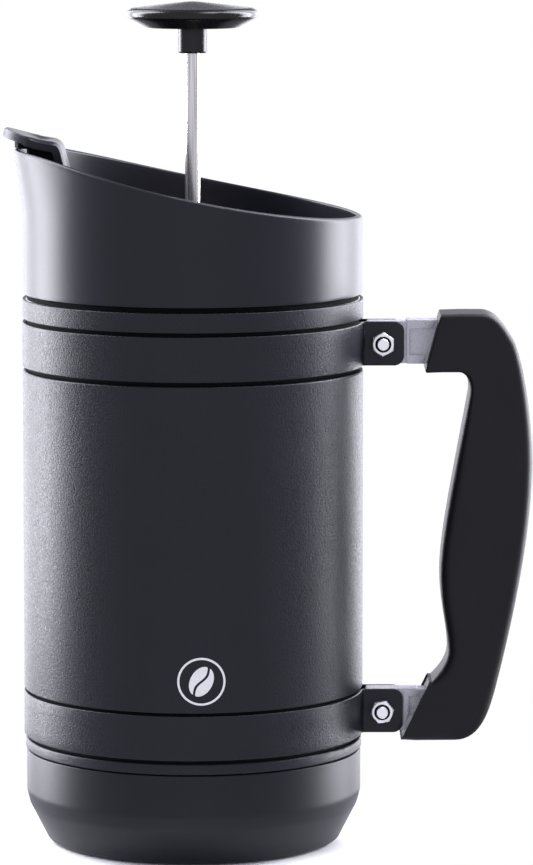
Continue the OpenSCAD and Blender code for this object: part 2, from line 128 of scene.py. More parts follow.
world = bpy.data.worlds.new("studio")
bpy.context.scene.world = world
world.use_nodes = True
sky = world.node_tree
sky.nodes.clear()
direction = add(sky, "ShaderNodeTexCoord")
axes = add(sky, "ShaderNodeSeparateXYZ", links={"Vector": direction.outputs["Generated"]})
room = add(sky, "ShaderNodeMapRange", {"From Min": -1.0, "From Max": 0.6, "To Min": ROOM_FRONT,
                                       "To Max": ROOM_BEHIND}, {"Value": axes.outputs["Y"]})
to_camera = add(sky, "ShaderNodeLightPath").outputs["Is Camera Ray"]
level = add(sky, "ShaderNodeMix", {"B": 1.0}, {"Factor": to_camera, "A": room})
tint = add(sky, "ShaderNodeMix", {"data_type": "RGBA", 6: ROOM_TINT, 7: WHITE}, {"Factor": to_camera})
glow = add(sky, "ShaderNodeBackground", {}, {"Color": tint, "Strength": level})
add(sky, "ShaderNodeOutputWorld", links={"Surface": glow})


def new_material(name):
    """An empty node material, its tree, and the socket that gives Object coordinates."""
    material = bpy.data.materials.new(name)
    material.use_nodes = True
    tree = material.node_tree
    tree.nodes.clear()
    return material, tree, add(tree, "ShaderNodeTexCoord").outputs["Object"]


def surfaced(material, shader):
    """The material with that shader node as its surface."""
    add(material.node_tree, "ShaderNodeOutputMaterial", links={"Surface": shader})
    return material


def pale_sweep():
    """Matt white board: an even pale surface that fades into the backdrop away from the press."""
    material, tree, where = new_material("matt_white_board")
    distance = add(tree, "ShaderNodeVectorMath", {"operation": "LENGTH"}, {0: where})
    fade = add(tree, "ShaderNodeMapRange", {"From Min": 0.045, "From Max": 0.1,
                                            "interpolation_type": "SMOOTHSTEP"}, {"Value": distance})
    matt = add(tree, "ShaderNodeBsdfPrincipled", {"Base Color": linear("#f4f4f5"), "Roughness": 0.8})
    nothing = add(tree, "ShaderNodeBsdfTransparent")
    return surfaced(material, add(tree, "ShaderNodeMixShader", {}, {0: fade, 1: matt, 2: nothing}))


def full_turn(count):
    """Equal steps of angle all the way round, leaving the last out."""
    return np.linspace(0, 2 * np.pi, count, endpoint=False)


BOARD_R = 0.12
board_edge = BOARD_R * np.exp(1j * full_turn(96))
board_mesh = bpy.data.meshes.new("table_board")
board_mesh.from_pydata([(p.real, p.imag, 0.0) for p in board_edge], [], [list(range(len(board_edge)))])
board_mesh.materials.append(pale_sweep())
board = new_object("table_board", board_mesh)


# ---- Outer shell ----
# Rolled steel wall with a bead above the base, two grooves for the clamp bands and a rolled mouth.
# Spun and seam-welded, then dipped in charcoal powder coat and baked.

def box_mm(node):
    """Lowest and highest corner of a frame node, in millimetres."""
    low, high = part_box(node)
    return np.array(low) * 1000, np.array(high) * 1000


def rounded(corners, closed=False, steps=5):
    """A profile through corners (r, z, fillet), each corner replaced by an arc of its fillet's radius.

    The arc is tangent to both sides of the corner: its centre lies on the corner's bisector, at
    fillet / sin(half the corner's angle) from the corner.
    """
    data = np.array(corners, float)
    points, radii = data[:, :2], data[:, 2]
    made = []
    for i, (p, fillet) in enumerate(zip(points, radii)):
        is_end = not closed and i in (0, len(points) - 1)
        if fillet == 0 or is_end:
            made.append(p[None])
            continue
        u = points[i - 1] - p
        v = points[(i + 1) % len(points)] - p
        u, v = u / np.linalg.norm(u), v / np.linalg.norm(v)
        half = np.arccos(np.clip(u @ v, -1, 1)) / 2
        centre = p + (u + v) / np.linalg.norm(u + v) * fillet / np.sin(half)
        start = p + u * fillet / np.tan(half) - centre
        end = p + v * fillet / np.tan(half) - centre
        turn = np.arctan2(start[0] * end[1] - start[1] * end[0], start @ end)
        angle = np.arctan2(start[1], start[0]) + turn * np.linspace(0, 1, steps + 1)
        made.append(centre + fillet * np.stack([np.cos(angle), np.sin(angle)], 1))
    return np.concatenate(made)


def skin(name, grid, closed_rows=False):
    """A mesh over a grid of points in millimetres, shape (rows, columns, 3).

    Columns always close on themselves. Rows close too on a ring section; otherwise each end row gets
    a fan to its own centre. The faces are turned so that the enclosed volume is positive.
    """
    rows, columns = grid.shape[:2]
    index = np.arange(rows * columns).reshape(rows, columns)
    below = index if closed_rows else index[:-1]
    above = np.roll(index, -1, 0) if closed_rows else index[1:]
    quads = np.stack([below, above, np.roll(above, -1, 1), np.roll(below, -1, 1)], -1).reshape(-1, 4)
    points, fans = grid.reshape(-1, 3), np.empty((0, 3), int)
    if not closed_rows:
        points = np.concatenate([points, grid[:1].mean(1), grid[-1:].mean(1)])
        first, last = index[0], index[-1]
        hub = np.full(columns, rows * columns)
        fans = np.concatenate([np.stack([first, np.roll(first, -1), hub], 1),
                               np.stack([np.roll(last, -1), last, hub + 1], 1)])
    corners = points[np.concatenate([quads[:, :3], quads[:, [0, 2, 3]], fans])]
    volume = np.einsum("ij,ij->", corners[:, 0], np.cross(corners[:, 1], corners[:, 2]))
    way = 1 if volume > 0 else -1
    mesh = bpy.data.meshes.new(name)
    mesh.from_pydata((points / 1000).tolist(), [], quads[:, ::way].tolist() + fans[:, ::way].tolist())
    mesh.shade_smooth()
    mesh.set_sharp_from_angle(angle=math.radians(38))
    return new_object(name, mesh)


def turned(name, profile, closed, steps, axis_point=None):
    """A profile of (radius, height) carried once round an axis.

    The axis is Z through the origin, or Y through axis_point (x, z), with height then running to +Y.
    """
    angle = full_turn(steps)
    r, h = profile[:, :1], np.repeat(profile[:, 1:], steps, 1)
    across, up = r * np.cos(angle), r * np.sin(angle)
    if axis_point is None:
        grid = np.stack([across, up, h], -1)
    else:
        grid = np.stack([axis_point[0] + across, h, axis_point[1] + up], -1)
    return skin(name, grid, closed)


def lathed(name, corners, closed=False, steps=160, fillet_steps=5, axis_point=None):
    """A profile through corners (r, z, fillet), rounded and then carried once round an axis."""
    return turned(name, rounded(corners, closed, fillet_steps), closed, steps, axis_point)


def coat_with(material, piece):
    """Makes a material the only one of a piece."""
    piece.data.materials.clear()
    piece.data.materials.append(material)


def dress(piece, body, slot, material, *nodes):
    """Gives a piece its material and the body that it rides on, and hides the nodes it stands for. slot is
    not used.
    """
    coat_with(material, piece)
    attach(piece, body)
    if nodes:
        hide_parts(*nodes)
    return piece


def grained(name, tones, grain, shader, patches=None, sheen=None, relief=None, stretch=None, contrast=None):
    """A finish from noise on Object coordinates: two tones, a roughness and a relief.

    grain sets the fine noise that roughness and relief follow. The tones follow it too, or the broad
    noise that patches sets, and contrast is the part of that noise's range that they spread over.
    sheen is the roughness (lowest, highest), then the noise's range if it isn't 0 to 1. relief is
    (strength, mm deep). stretch scales the marks that run one way.
    """
    material, tree, where = new_material(name)
    if stretch:
        where = add(tree, "ShaderNodeMapping", {"Scale": stretch}, {"Vector": where})
    fine = add(tree, "ShaderNodeTexNoise", grain, {"Vector": where})
    broad = add(tree, "ShaderNodeTexNoise", patches, {"Vector": where}) if patches else fine
    if contrast:
        spread = dict(zip(("From Min", "From Max"), contrast))
        broad = add(tree, "ShaderNodeMapRange", spread, {"Value": broad})
    dark, light = (linear(tone) for tone in tones)
    looks = {"Base Color": add(tree, "ShaderNodeMix", {"data_type": "RGBA", 6: dark, 7: light},
                               {"Factor": broad})}
    if sheen:
        ends = dict(zip(("To Min", "To Max", "From Min", "From Max"), sheen))
        looks["Roughness"] = add(tree, "ShaderNodeMapRange", ends, {"Value": fine})
    if relief:
        bump = {"Strength": relief[0], "Distance": relief[1] / 1000}
        looks["Normal"] = add(tree, "ShaderNodeBump", bump, {"Height": fine})
    return surfaced(material, add(tree, "ShaderNodeBsdfPrincipled", shader, looks))


# Charcoal polyester powder coat, sprayed dry and baked: a pebbly skin with a soft, broad sheen.
# The pebble is about 0.5 mm on the real coat and is drawn at 0.7 mm so that it shows.
PEBBLE, PATCH = 0.7, 14
coated_steel = grained(
    "charcoal_powder_coat", ("#15151e", "#1b1b24"),
    {"Scale": 1000 / PEBBLE, "Detail": 3.0, "Roughness": 0.6}, {"IOR": 1.34},
    patches={"Scale": 1000 / PATCH, "Detail": 2.0}, sheen=(0.26, 0.52, 0.3, 0.7), relief=(1.0, 0.12))

shell_low, shell_high = box_mm("outer_shell")
cap_low, cap_high = box_mm("base_cap")
upper_low, upper_high = box_mm("upper_clamp_band")
lower_low, lower_high = box_mm("lower_clamp_band")

shell_r = shell_high[0]
mouth_z = shell_high[2]
band_t = 1.4
groove_r = -upper_low[0] - band_t - 0.4
bead_r = shell_r - 0.4
wall_t = 1.0
inside_r, behind_r = shell_r - wall_t, groove_r - wall_t
bead_z = cap_high[2] + 0.5
low_a, low_b = lower_low[2] - 1.1, lower_high[2] + 1.0
up_a, up_b = upper_low[2] - 1.3, upper_high[2] + 1.3
shell_corners = [
    (48.3, shell_low[2], 0), (49.2, shell_low[2], 0), (53.3, 13.6, 3), (54.6, 18, 3), (54.6, bead_z, 0),
    (bead_r, bead_z, 0.3), (bead_r, low_a, 0.8), (groove_r, low_a, 0.1), (groove_r, low_b, 0.1),
    (shell_r, low_b, 0.3), (shell_r, up_a, 0.8), (groove_r, up_a, 0.1), (groove_r, up_b, 0.1),
    (shell_r, up_b, 0.3), (shell_r, mouth_z, 0.3), (shell_r - 0.9, mouth_z, 0),
    (inside_r, up_b + wall_t, 0.3), (behind_r, up_b + wall_t, 0.3), (behind_r, up_a - wall_t, 0.3),
    (inside_r, up_a - wall_t, 0.3), (inside_r, low_b + wall_t, 0.3), (behind_r, low_b + wall_t, 0.3),
    (behind_r, bead_z + wall_t, 0.3), (53.6, bead_z + wall_t, 0.3), (53.6, 18.2, 3), (52.3, 14, 3),
]
dress(lathed("shell_wall", shell_corners, closed=True, steps=256), "vessel", "powder_coat", coated_steel,
      "outer_shell")


# ---- Inner liner ----
# Deep-drawn stainless cup with a flange that closes the double wall at the mouth.
# The drawing and polishing wheel leave fine rings round it.

def brushed_round(name, colour, roughness, line):
    """Stainless steel brushed round its axis: fine rings that stretch each highlight up and down.

    The scratches are line mm apart along Z and run nearly unbroken round the part.
    """
    return grained(name, (colour, "#e4e5e7"), {"Scale": 1.0, "Detail": 4.0, "Roughness": 0.65},
                   {"Metallic": 1.0}, sheen=(roughness - 0.06, roughness + 0.08), relief=(0.6, 0.01),
                   stretch=(25, 25, 1000 / line))


liner_steel = brushed_round("satin_drawn_stainless", "#b8babd", 0.3, 0.5)
liner_low, liner_high = box_mm("inner_liner")
liner_r, liner_t, draw_r = 51.4, 0.8, 7.4
floor_z, flange_r = liner_low[2] + liner_t, liner_high[0]
ON_AXIS = 0.01                           # profiles stop this short of the axis, where a fan closes them
liner_corners = [
    (ON_AXIS, floor_z - liner_t, 0), (liner_r + liner_t, floor_z - liner_t, draw_r + liner_t),
    (liner_r + liner_t, mouth_z - liner_t, 0.3), (flange_r, mouth_z - liner_t, 0.2),
    (flange_r, mouth_z, 0.25), (liner_r, mouth_z, 1.2), (liner_r, floor_z, draw_r),
    (ON_AXIS, floor_z + 0.6, 0),
]
dress(lathed("liner_cup", liner_corners, steps=192, fillet_steps=10), "vessel", "brushed_liner",
      liner_steel, "inner_liner")

for hidden in ("vessel_base_plate", "vacuum_seal_cap"):
    coat_with(liner_steel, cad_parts[hidden])


# ---- Base cap ----
# Injection-moulded foot cap pressed on from below, with a round shoulder and a coned lower edge.

def moulded_plastic(name, colour, other, roughness, grain, depth):
    """Matt moulded polypropylene: an even, spark-eroded grain copied from the tool, softly shiny."""
    return grained(name, (colour, other), {"Scale": 1000 / grain, "Detail": 2.0}, {"IOR": 1.34},
                   patches={"Scale": 45.0, "Detail": 3.0}, sheen=(roughness - 0.05, roughness + 0.05),
                   relief=(0.8, depth))


cap_plastic = moulded_plastic("matt_moulded_foot_cap", "#11111a", "#15151e", 0.42, 0.7, 0.03)
foot_r, _, foot_t = box_mm("foot_pad")[1]
cap_r, cap_top = cap_high[0], cap_high[2]
cap_corners = [
    (ON_AXIS, foot_t, 0), (foot_r + 0.3, foot_t, 0.2), (foot_r + 0.3, cap_low[2], 0.3),
    (48.9, cap_low[2], 2.4), (cap_r - 1.0, 13.0, 9), (cap_r, 17.5, 9), (cap_r, cap_top, 0.4),
    (cap_r - 1.6, cap_top, 0.1), (cap_r - 1.6, 17.3, 3), (53.6, 12.7, 3), (48.7, 3.6, 1), (ON_AXIS, 3.6, 0),
]
dress(lathed("foot_cap", cap_corners, steps=224, fillet_steps=10), "vessel", "moulded_base", cap_plastic,
      "base_cap")


# ---- Foot pad ----
# Die-cut nitrile rubber disc glued into the cap's recess; its lower edge is what touches the table.

def black_rubber(name, colour, dust):
    """Dull black rubber, pressed between plates: nearly no shine, with a dusty, leathery grain."""
    return grained(name, (colour, dust), {"Scale": 1200.0, "Detail": 4.0}, {"Roughness": 0.9, "IOR": 1.25},
                   relief=(0.5, 0.03))


foot_rubber = black_rubber("dull_nitrile_rubber", "#030304", "#0a0a0b")
RIB_H = 0.5
pad_corners = [
    (ON_AXIS, 0, 0), (14, 0, 0.3), (14.6, RIB_H, 0.3), (17.4, RIB_H, 0.3), (18, 0, 0.3), (32, 0, 0.3),
    (32.6, RIB_H, 0.3), (35.4, RIB_H, 0.3), (36, 0, 0.3), (foot_r, 0, 0.35), (foot_r, foot_t, 0.1),
    (ON_AXIS, foot_t, 0),
]
dress(lathed("foot_disc", pad_corners, fillet_steps=3), "vessel", "foot_rubber", foot_rubber, "foot_pad")


# ---- Band strips ----
# Extruded rubber strips laid in the two grooves. They keep the bands off the coat. Their near-black is
# also painted shade: they are the black lines above and below each band, where shade falls in the gaps.

STRIP_T, STRIP_GAP = 0.3, 0.1
for label, groove_low, groove_high in (("lower", low_a, low_b), ("upper", up_a, up_b)):
    strip_low, strip_high = groove_low + STRIP_GAP, groove_high - STRIP_GAP
    strip = [(groove_r, strip_low, 0.02), (groove_r + STRIP_T, strip_low, 0.08),
             (groove_r + STRIP_T, strip_high, 0.08), (groove_r, strip_high, 0.02)]
    # painted shade: the strips' near-black rubber darkens the gaps above and below the band
    dress(lathed(f"strip_{label}", strip, closed=True, steps=192, fillet_steps=2), "vessel", "foot_rubber",
          foot_rubber, f"{label}_band_pad")


# ---- Clamp bands ----
# Steel strips rolled into the shell's grooves. Both ends turn out into an ear with round corners,
# and the two ears pinch the handle's tang.

def swept(centres, side_a, side_b, half_a, half_b, radii, corner_steps=4, flat_steps=4):
    """A rounded rectangle carried along a path: one section per centre, shape (sections, points, 3).

    A section spans half_a along side_a and half_b along side_b, both unit vectors; each is one value
    or one per section. radii is one radius, or one per corner in the order ++, -+, --, +-.
    """
    side_a, side_b = (np.broadcast_to(side, centres.shape) for side in (side_a, side_b))
    half = np.stack([np.broadcast_to(h, len(centres)) for h in (half_a, half_b)], 1)[:, None]
    radii = np.minimum(np.broadcast_to(radii, (len(centres), 4)), half.min(2) * 0.999)
    turn = np.linspace(0, np.pi / 2, corner_steps + 1)
    arcs = []
    for k, corner in enumerate(([1, 1], [-1, 1], [-1, -1], [1, -1])):
        r = radii[:, k, None, None]
        angle = turn + k * np.pi / 2
        arcs.append(corner * (half - r) + r * np.stack([np.cos(angle), np.sin(angle)], 1))
    share = np.linspace(0, 1, flat_steps + 1)[1:-1, None]
    flats = [a[:, -1:] * (1 - share) + b[:, :1] * share for a, b in zip(arcs, arcs[1:] + arcs[:1])]
    section = np.concatenate([part for pair in zip(arcs, flats) for part in pair], 1)
    return centres[:, None] + section[..., :1] * side_a[:, None] + section[..., 1:] * side_b[:, None]


def right_of(path):
    """Unit normals to the right of a path in the XY plane."""
    tangent = np.gradient(path, axis=0)
    tangent /= np.linalg.norm(tangent, axis=1, keepdims=True)
    return np.stack([tangent[:, 1], -tangent[:, 0], np.zeros(len(path))], 1)


def clamp_band(name, low, high, node):
    """Half of the strip, from the free ear round to the spout side, mirrored to make the whole.

    In plan the ear runs along y = -ear_y, a fillet of radius bend_r turns it on to the ring, and the
    ring runs on to the far side. The strip's height falls away round each ear's two corners.
    """
    ring_r = -low[0] - band_t / 2
    ear_y = 4.3
    bend_r = 1.9
    corner_r = 3.3
    height = high[2] - low[2]
    bend_x = math.sqrt((ring_r + bend_r) ** 2 - (ear_y + bend_r) ** 2)
    on_ring = math.atan2(-(ear_y + bend_r), bend_x)
    tip_x = high[0] - corner_r * (1 - np.cos(np.linspace(0, 1.45, 10)))
    ear_x = np.concatenate([tip_x, np.linspace(high[0] - corner_r, bend_x, 6)[:-1]])
    ear = np.stack([ear_x, np.full(len(ear_x), -ear_y)], 1)
    turn = np.linspace(np.pi / 2, np.pi + on_ring, 9)
    bend = np.stack([bend_x + bend_r * np.cos(turn), -ear_y - bend_r + bend_r * np.sin(turn)], 1)
    sweep = np.linspace(on_ring, -np.pi, 130)[1:]
    ring = ring_r * np.stack([np.cos(sweep), np.sin(sweep)], 1)
    half_path = np.concatenate([ear, bend, ring])
    mirrored = half_path[-2::-1] * [1, -1]
    path = np.concatenate([half_path, mirrored])
    centres = np.column_stack([path, np.full(len(path), (low[2] + high[2]) / 2)])
    from_tip = np.clip(high[0] - path[:, 0], 0, corner_r)
    near_ear = path[:, 0] > bend_x
    fall = np.where(near_ear, corner_r - np.sqrt(corner_r ** 2 - (corner_r - from_tip) ** 2), 0)
    grid = swept(centres, right_of(centres), (0, 0, 1), band_t / 2, height / 2 - fall, 0.4)
    return dress(skin(name, grid), "vessel", "powder_coat", coated_steel, node)


clamp_band("band_upper", upper_low, upper_high, "upper_clamp_band")
clamp_band("band_lower", lower_low, lower_high, "lower_clamp_band")


# ---- Handle frame ----
# Gravity-cast aluminium core. Only its two tangs show, between the ears and the grip, with the
# cast pockets in their faces; the rest is buried in the grip. Bead-blasted after fettling.

def eased_copy(node, name, ease):
    """A frame node's own shape, its triangles merged into whole faces and its sharp edges eased.

    The ease is a bevel of that many millimetres on every edge that turns by more than 30 degrees.
    """
    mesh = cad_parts[node].data.copy()
    mesh.name = name
    work = bmesh.new()
    work.from_mesh(mesh)
    bmesh.ops.remove_doubles(work, verts=work.verts, dist=2e-6)
    bmesh.ops.dissolve_limit(work, angle_limit=math.radians(0.5), verts=work.verts, edges=work.edges)
    work.to_mesh(mesh)
    work.free()
    mesh.shade_smooth()
    mesh.set_sharp_from_angle(angle=math.radians(30))
    piece = new_object(name, mesh)
    bevel = piece.modifiers.new("eased_edges", "BEVEL")
    bevel.width = ease / 1000
    bevel.segments = 2
    bevel.angle_limit = math.radians(30)
    return piece


def dress_copy(node, name, ease, body, slot, material):
    """Dresses an eased copy of a node, which stands for that node."""
    return dress(eased_copy(node, name, ease), body, slot, material, node)


def cast_alloy():
    """Bead-blasted cast aluminium: pale grey, evenly rough, with the faint pits of the casting."""
    blast, pit = 0.6, 2.6
    material, tree, where = new_material("bead_blasted_cast_aluminium")
    beads = add(tree, "ShaderNodeTexNoise", {"Scale": 1000 / blast, "Detail": 3.0}, {"Vector": where})
    pits = add(tree, "ShaderNodeTexVoronoi", {"Scale": 1000 / pit}, {"Vector": where})
    hollow = add(tree, "ShaderNodeMapRange", {"From Min": 0.0, "From Max": 0.22},
                 {"Value": pits.outputs["Distance"]})
    height = add(tree, "ShaderNodeMath", {"operation": "ADD"}, {0: beads, 1: hollow})
    tone = add(tree, "ShaderNodeMix", {"data_type": "RGBA", 6: linear("#a8a8b0"), 7: linear("#cdcdd4")},
               {"Factor": beads})
    relief = add(tree, "ShaderNodeBump", {"Strength": 1.0, "Distance": 0.00012}, {"Height": height})
    return surfaced(material, add(tree, "ShaderNodeBsdfPrincipled", {"Metallic": 0.7, "Roughness": 0.5},
                                  {"Base Color": tone, "Normal": relief}))


dress_copy("handle_frame", "cast_tangs", 0.25, "vessel", "cast_alloy", cast_alloy())


# ---- Grip ----
# Soft-touch grip moulded over the cast core: flat sides, generously rounded edges, a bowed back,
# a palm swell and a finger stop inside, and slanted ends where the tangs come out.

def cubic(p0, p1, p2, p3, steps, begin=0.0, end=1.0):
    """Points along a cubic curve with those control points, from begin to end, leaving the last out."""
    t = np.linspace(begin, end, steps, endpoint=False)[:, None]
    p0, p1, p2, p3 = (np.array(p, float) for p in (p0, p1, p2, p3))
    return (1 - t) ** 3 * p0 + 3 * (1 - t) ** 2 * t * p1 + 3 * (1 - t) * t ** 2 * p2 + t ** 3 * p3


def line(a, b):
    """Control points of a straight stretch, as a cubic curve's four points."""
    a, b = np.array(a, float), np.array(b, float)
    return a, a + (b - a) / 3, a + (b - a) * 2 / 3, b


def side_view(points):
    """Points or directions (x, z) as (x, 0, z)."""
    return np.stack([points[:, 0], np.zeros(len(points)), points[:, 1]], 1)


def grip_grid():
    """Sections of the grip, each spanning from the inside curve to the back curve.

    Both curves are in X and Z. They are walked in matched stretches, (curve, begin, end) each, so that
    point i of one faces point i of the other. The end rows draw in over a quarter circle to round the
    rim of each slanted end face, and the corner radius grows from the ends to the palm.
    """
    top = line((82.6, 178.6), (96.5, 178.6))
    shoulder = ((96.5, 178.6), (101.5, 178.6), (104.5, 173.5), (107.3, 169))
    bow = ((107.3, 169), (110.8, 161), (113.5, 141), (113.5, 128))
    taper = ((113.5, 128), (113.5, 104), (107, 74), (102, 53.7))
    heel = ((102, 53.7), (99.8, 45), (97, 34.6), (88, 34.6))
    foot = line((88, 34.6), (70.4, 34.6))
    roof = line((77.4, 159.1), (88.5, 159.1))
    web = ((88.5, 159.1), (91.8, 159.1), (92.9, 155), (92.2, 151))
    palm = ((92.2, 151), (88.5, 130), (82.9, 104), (82.9, 91.2))
    finger = ((82.9, 91.2), (82.9, 80), (85.4, 73), (85.6, 65.6))
    stop = ((85.6, 65.6), (85.8, 61), (82.4, 57), (79.8, 54.2))
    matched = [(4, top, 0, 1, roof, 0, 1), (16, shoulder, 0, 1, web, 0, 1), (14, bow, 0, 1, palm, 0, 0.4),
               (14, taper, 0, 0.45, palm, 0.4, 1), (12, taper, 0.45, 0.85, finger, 0, 1),
               (6, taper, 0.85, 1, stop, 0, 0.5), (16, heel, 0, 1, stop, 0.5, 0.85),
               (8, foot, 0, 1, stop, 0.85, 1)]
    outer = np.concatenate([cubic(*a, n, a0, a1) for n, a, a0, a1, _, _, _ in matched] + [[foot[3]]])
    inner = np.concatenate([cubic(*b, n, b0, b1) for n, _, _, _, b, b0, b1 in matched] + [[stop[3]]])
    centre, span = (outer + inner) / 2, outer - inner
    half = np.linalg.norm(span, axis=1) / 2
    across = span / (2 * half[:, None])
    ease = 0.7
    turn = np.linspace(0, np.pi / 2, 5)
    draw_in, stand_out = ease * (1 - np.cos(turn)), ease * (np.sin(turn) - 1)
    start_out, end_out = (np.array([-a[1], a[0]]) for a in (across[0], across[-1]))
    centre = np.concatenate([centre[0] + stand_out[::-1, None] * start_out, centre[2:-2],
                             centre[-1] + stand_out[:, None] * end_out])
    across = np.concatenate([np.tile(across[0], (5, 1)), across[2:-2], np.tile(across[-1], (5, 1))])
    half = np.concatenate([half[0] - draw_in[::-1], half[2:-2], half[-1] - draw_in])
    thick = np.full(len(half), grip_half_t)
    thick[:5] -= draw_in[::-1]
    thick[-5:] -= draw_in
    place = np.linspace(0, 1, len(half))
    radius = np.interp(place, [0, 0.06, 0.22, 0.4, 0.75, 0.94, 1], [1.1, 1.6, 3.0, 4.2, 4.2, 2.4, 1.1])
    return swept(side_view(centre), side_view(across), (0, 1, 0), half, thick, radius[:, None],
                 corner_steps=8, flat_steps=6)


# Soft-touch elastomer over nylon: near-black, velvety, with a faint moulded grain and warm bloom.
GRIP_GRAIN = 0.7
soft_touch = grained("soft_touch_elastomer", ("#0e0e12", "#141419"),
                     {"Scale": 1000 / GRIP_GRAIN, "Detail": 3.0}, {"IOR": 1.33},
                     patches={"Scale": 60.0, "Detail": 2.0}, sheen=(0.42, 0.52), relief=(0.6, 0.015))
grip_low, grip_high = box_mm("handle_grip")
grip_half_t = (grip_high[1] - grip_low[1]) / 2
dress(skin("soft_grip", grip_grid()), "vessel", "grip_soft", soft_touch, "handle_grip")


# ---- Clamp bolts and nuts ----
# Zinc-plated M4 screws with button heads behind and chamfered hexagon nuts in front.

def hexagon_radius(angle, flats):
    """Polar radius of a hexagon that measures flats across its flats, with a flat facing angle 0."""
    sector = (angle + np.pi / 6) % (np.pi / 3) - np.pi / 6
    return flats / 2 / np.cos(sector)


def hex_nut(name, flats, thread_r, height, place, spin=0.0, along_y=True):
    """A nut as a polar grid whose radius is the smaller of the hexagon's and a 30 degree cone's.

    The rows run up the outside, over the chamfered face and down the thread's countersink and bore.
    """
    angle = full_turn(144)
    hexagon = hexagon_radius(angle + spin, flats)
    washer_r = flats / 2 * 0.96
    cone = lambda depth: washer_r + depth / math.tan(math.radians(30))
    depths = np.array([0, 0.08, 0.2, 0.35, 0.55, height / 2])
    rise = np.concatenate([depths, height - depths[-2::-1]])
    outside = np.stack([np.minimum(hexagon, cone(min(d, height - d))) for d in rise])
    sink = 0.65
    bore = [(thread_r + sink, height), (thread_r, height - sink), (thread_r, sink), (thread_r + sink, 0)]
    inside = np.stack([np.full(len(angle), r) for r, _ in bore])
    radius = np.concatenate([outside, inside])
    level = np.concatenate([rise, [h for _, h in bore]])[:, None] + np.zeros(len(angle))
    across, up = radius * np.cos(angle), radius * np.sin(angle)
    x, y, z = place
    if along_y:
        grid = np.stack([x + across, y - level, z + up], -1)
    else:
        grid = np.stack([x + across, y + up, z + level], -1)
    return skin(name, grid, closed_rows=True)


def button_screw(name, place, tip_y, head_y):
    """Shank, button head and hexagon socket as one polar grid along Y.

    Rows run from the pointed tip along the shank, over the head and down into the six-sided socket.
    """
    angle = full_turn(96)
    shank_r, head_r, key = 2.0, 3.8, 2.5
    top_y = head_y + HEAD_H
    head = rounded([(shank_r, head_y, 0), (head_r, head_y, 0.15), (head_r, head_y + 0.9, 0.3),
                    (2.6, top_y, 0.5), (1.65, top_y, 0)])
    tip = np.array([(0.6, tip_y), (shank_r - 0.2, tip_y), (shank_r, tip_y + 0.2)])
    plain = np.concatenate([tip, head])
    radius = plain[:, :1] + np.zeros(len(angle))
    socket = np.stack([hexagon_radius(angle, key), hexagon_radius(angle, key) * 0.97, 0.1 + 0 * angle])
    radius = np.concatenate([radius, socket])
    level = np.concatenate([plain[:, 1], [top_y - 0.05, head_y + 0.9, head_y + 0.7]])
    x, z = place
    across, up = radius * np.cos(angle), radius * np.sin(angle)
    return skin(name, np.stack([x + across, level[:, None] + 0 * radius, z + up], -1))


# Bright zinc plate over steel: cool and shiny, with hazy patches left by the plating bath.
zinc_plate = grained("bright_zinc_plate", ("#ececf0", "#fbfbfd"), {"Scale": 900.0, "Detail": 3.0},
                     {"Metallic": 1.0}, sheen=(0.3, 0.5))
nut_low, nut_high = box_mm("clamp_nuts")
bolt_low, bolt_high = box_mm("clamp_bolts")
bolt_x = (bolt_low[0] + bolt_high[0]) / 2
NUT_FLATS, THREAD_R, HEAD_H = 7.0, 2.08, 2.6
ring_y, nut_h = nut_low[1], nut_high[1] - nut_low[1]
for label, low, high, spin, nut_node, bolt_node in (
        ("upper", upper_low, upper_high, 0.04, ["clamp_nuts"], ["clamp_bolts"]),
        ("lower", lower_low, lower_high, 0.35, [], [])):
    bolt_z = (low[2] + high[2]) / 2
    dress(hex_nut(f"nut_{label}", NUT_FLATS, THREAD_R, nut_h, (bolt_x, nut_high[1], bolt_z), spin),
          "vessel", "plated_fastener", zinc_plate, *nut_node)
    nylon = [(2.1, ring_y + 0.05, 0.05), (THREAD_R + 0.64, ring_y + 0.02, 0.1),
             (THREAD_R + 0.1, ring_y + 0.6, 0.05)]
    dress(lathed(f"nut_ring_{label}", nylon, closed=True, steps=64, fillet_steps=2,
                 axis_point=(bolt_x, bolt_z)), "vessel", None, foot_rubber)
    dress(button_screw(f"screw_{label}", (bolt_x, bolt_z), bolt_low[1], bolt_high[1] - HEAD_H),
          "vessel", "plated_fastener", zinc_plate, *bolt_node)


# ---- Printed badge ----
# A small round badge pad-printed in white on the coat: a thin ring round a coffee bean.

BADGE_U, BADGE_Z, INK_T = 3.4, 63.0, 0.04


def on_shell(across, up, proud):
    """Points wrapped on the shell's front: across is an arc length towards the handle, up is height."""
    angle = across / shell_r
    r = shell_r + proud
    return np.stack([r * np.sin(angle), -r * np.cos(angle), up + 0 * across], -1)


def printed(left, right):
    """A film of ink between two plan curves of equal length, each (points, 2), wrapped on the shell."""
    section = [(left, 0.005), (left, INK_T), (right, INK_T), (right, 0.005)]
    return np.stack([on_shell(BADGE_U + c[:, 0], BADGE_Z + c[:, 1], proud) for c, proud in section], 1)


def bean_half(side):
    """One half of a tilted bean: its outer edge is half an ellipse, its inner edge an S-shaped groove."""
    t = np.linspace(-0.97, 0.97, 48)
    long_r, wide_r, groove_w, tilt = 5.2, 3.7, 0.42, math.radians(-28)
    groove = 0.75 * np.sin(t * np.pi) + side * groove_w
    outer = side * wide_r * np.sqrt(1 - t ** 2)
    inner = np.where(side * (outer - groove) > 0.02, groove, outer - side * 0.02)
    turn = np.array([[math.cos(tilt), -math.sin(tilt)], [math.sin(tilt), math.cos(tilt)]])
    return np.stack([outer, long_r * t], 1) @ turn.T, np.stack([inner, long_r * t], 1) @ turn.T


